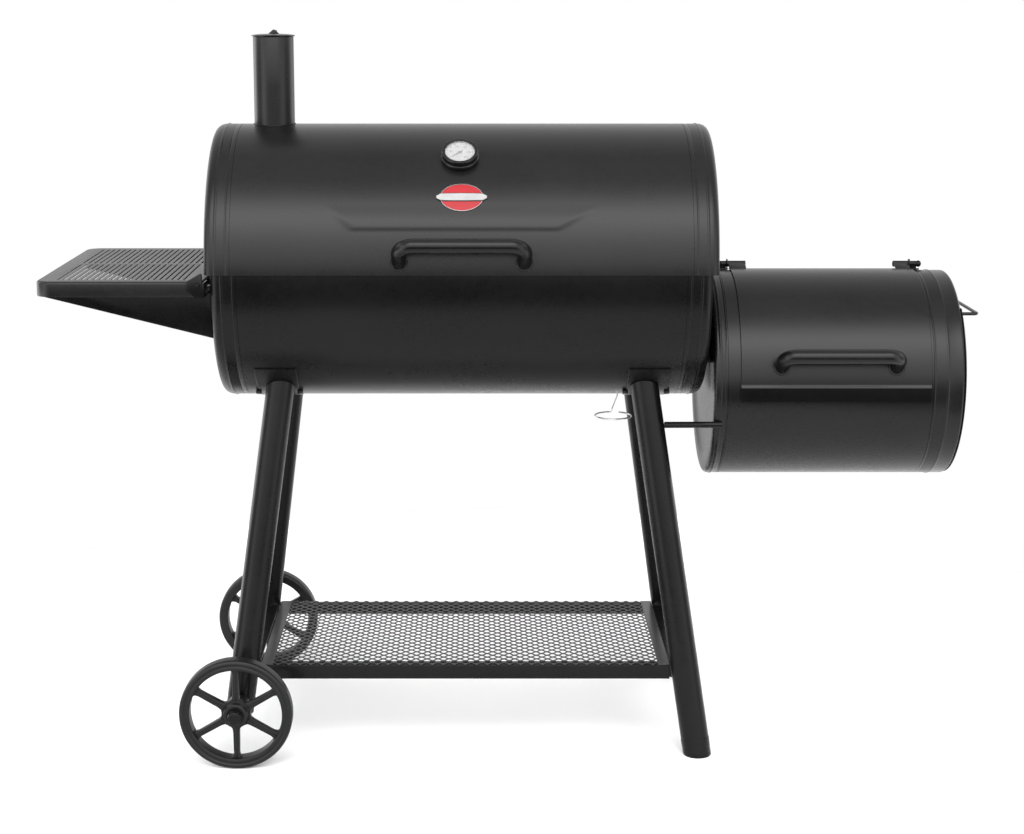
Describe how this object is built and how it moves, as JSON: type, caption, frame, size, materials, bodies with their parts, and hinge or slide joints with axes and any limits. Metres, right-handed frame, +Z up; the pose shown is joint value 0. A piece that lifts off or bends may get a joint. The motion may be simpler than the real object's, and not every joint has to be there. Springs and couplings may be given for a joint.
{
  "type": "barrel charcoal grill",
  "caption": "Barrel charcoal grill with hinged lid, offset firebox with door and ash drawer, smokestack, slotted side shelf and wheeled stand with lower shelf.",
  "frame": {"origin": "on the ground under the middle of the grill's bounding box", "axes": "+Z up; -Y towards the front, where the handles and the thermometer are; +X towards the firebox, away from the side shelf"},
  "size_m": [1.6268, 0.608, 1.26],
  "materials": {
    "black_paint": "satin heat-resistant black",
    "leg_paint": "satin black",
    "grey_paint": "matt grey",
    "cast_iron": "seasoned, matt",
    "zinc_steel": "zinc plated",
    "black_plastic": "moulded, matt",
    "red_enamel": "gloss red",
    "dial_white": "satin white"
  },
  "bodies": {
    "grill": {"axle": "zinc_steel", "axle_cap_front": "black_plastic", "axle_cap_rear": "black_plastic", "bowl_end_left": "black_paint", "bowl_end_right": "black_paint", "bowl_shell": "black_paint", "charcoal_grate": "cast_iron", "cooking_grate_1": "cast_iron", "cooking_grate_2": "cast_iron", "cooking_grate_3": "cast_iron", "door_hinge_ear_left": "leg_paint", "door_hinge_ear_right": "leg_paint", "firebox_brace": "leg_paint", "firebox_end_left": "black_paint", "firebox_end_right": "black_paint", "firebox_shell": "black_paint", "foot_cup_front": "black_plastic", "foot_cup_rear": "black_plastic", "grate_ledge_front": "black_paint", "grate_ledge_rear": "black_paint", "grease_can_hanger": "zinc_steel", "leg_front_left": "leg_paint", "leg_front_right": "leg_paint", "leg_rear_left": "leg_paint", "leg_rear_right": "leg_paint", "leg_saddle_left": "leg_paint", "leg_saddle_right": "leg_paint", "lid_hinge_bracket_left": "leg_paint", "lid_hinge_bracket_right": "leg_paint", "lower_shelf_mesh": "grey_paint", "shelf_bracket_front": "leg_paint", "shelf_bracket_rear": "leg_paint", "shelf_gusset_front": "leg_paint", "shelf_gusset_rear": "leg_paint", "shelf_rail_front": "leg_paint", "shelf_rail_left": "leg_paint", "shelf_rail_rear": "leg_paint", "shelf_rail_right": "leg_paint", "side_shelf_tray": "grey_paint"},
    "lid": {"lid_shell": "black_paint", "lid_end_left": "black_paint", "lid_end_right": "black_paint", "lid_handle": "black_paint", "thermometer_housing": "black_paint", "thermometer_dial": "dial_white", "badge_plate": "red_enamel", "smokestack": "black_paint", "lid_hinge_leaf_left": "leg_paint", "lid_hinge_leaf_right": "leg_paint"},
    "needle": {"thermometer_needle": "leg_paint"},
    "stack_flap": {"stack_cap": "leg_paint"},
    "door": {"firebox_door": "black_paint", "firebox_door_handle": "black_paint"},
    "drawer": {"ash_drawer_pan": "black_paint", "ash_drawer_front": "black_paint", "ash_drawer_handle": "zinc_steel", "firebox_grate": "cast_iron"},
    "damper": {"air_damper": "leg_paint"},
    "front_wheel": {"wheel_front": "black_plastic"},
    "rear_wheel": {"wheel_rear": "black_plastic"}
  },
  "joints": [
    {"name": "lid_hinge", "type": "hinge", "parent": "grill", "child": "lid", "pos_m": [-0.09595, 0.2544, 0.8513], "axis": [-1, 0, 0], "range_deg": [0, 95]},
    {"name": "thermometer_needle_turn", "type": "hinge", "parent": "lid", "child": "needle", "pos_m": [-0.09915, -0.14741, 1.0441], "axis": [0, 0.6074, -0.7944], "range_deg": [0, 270]},
    {"name": "stack_cap_swivel", "type": "hinge", "parent": "lid", "child": "stack_flap", "pos_m": [-0.42785, 0.0436, 1.2458], "axis": [0, 0, 1], "range_deg": [0, 120]},
    {"name": "firebox_door_hinge", "type": "hinge", "parent": "grill", "child": "door", "pos_m": [0.54795, 0.03715, 0.83962], "axis": [-1, 0, 0], "range_deg": [0, 125]},
    {"name": "ash_drawer_slide", "type": "slide", "parent": "grill", "child": "drawer", "axis": [1, 0, 0], "range_m": [0, 0.25]},
    {"name": "air_damper_turn", "type": "hinge", "parent": "drawer", "child": "damper", "pos_m": [0.77085, 0, 0.6135], "axis": [1, 0, 0], "range_deg": [-30, 30]},
    {"name": "front_wheel_spin", "type": "hinge", "parent": "grill", "child": "front_wheel", "pos_m": [-0.48625, -0.2717, 0.098], "axis": [0, 1, 0], "continuous": true},
    {"name": "rear_wheel_spin", "type": "hinge", "parent": "grill", "child": "rear_wheel", "pos_m": [-0.48625, 0.2717, 0.098], "axis": [0, 1, 0], "continuous": true}
  ]
}
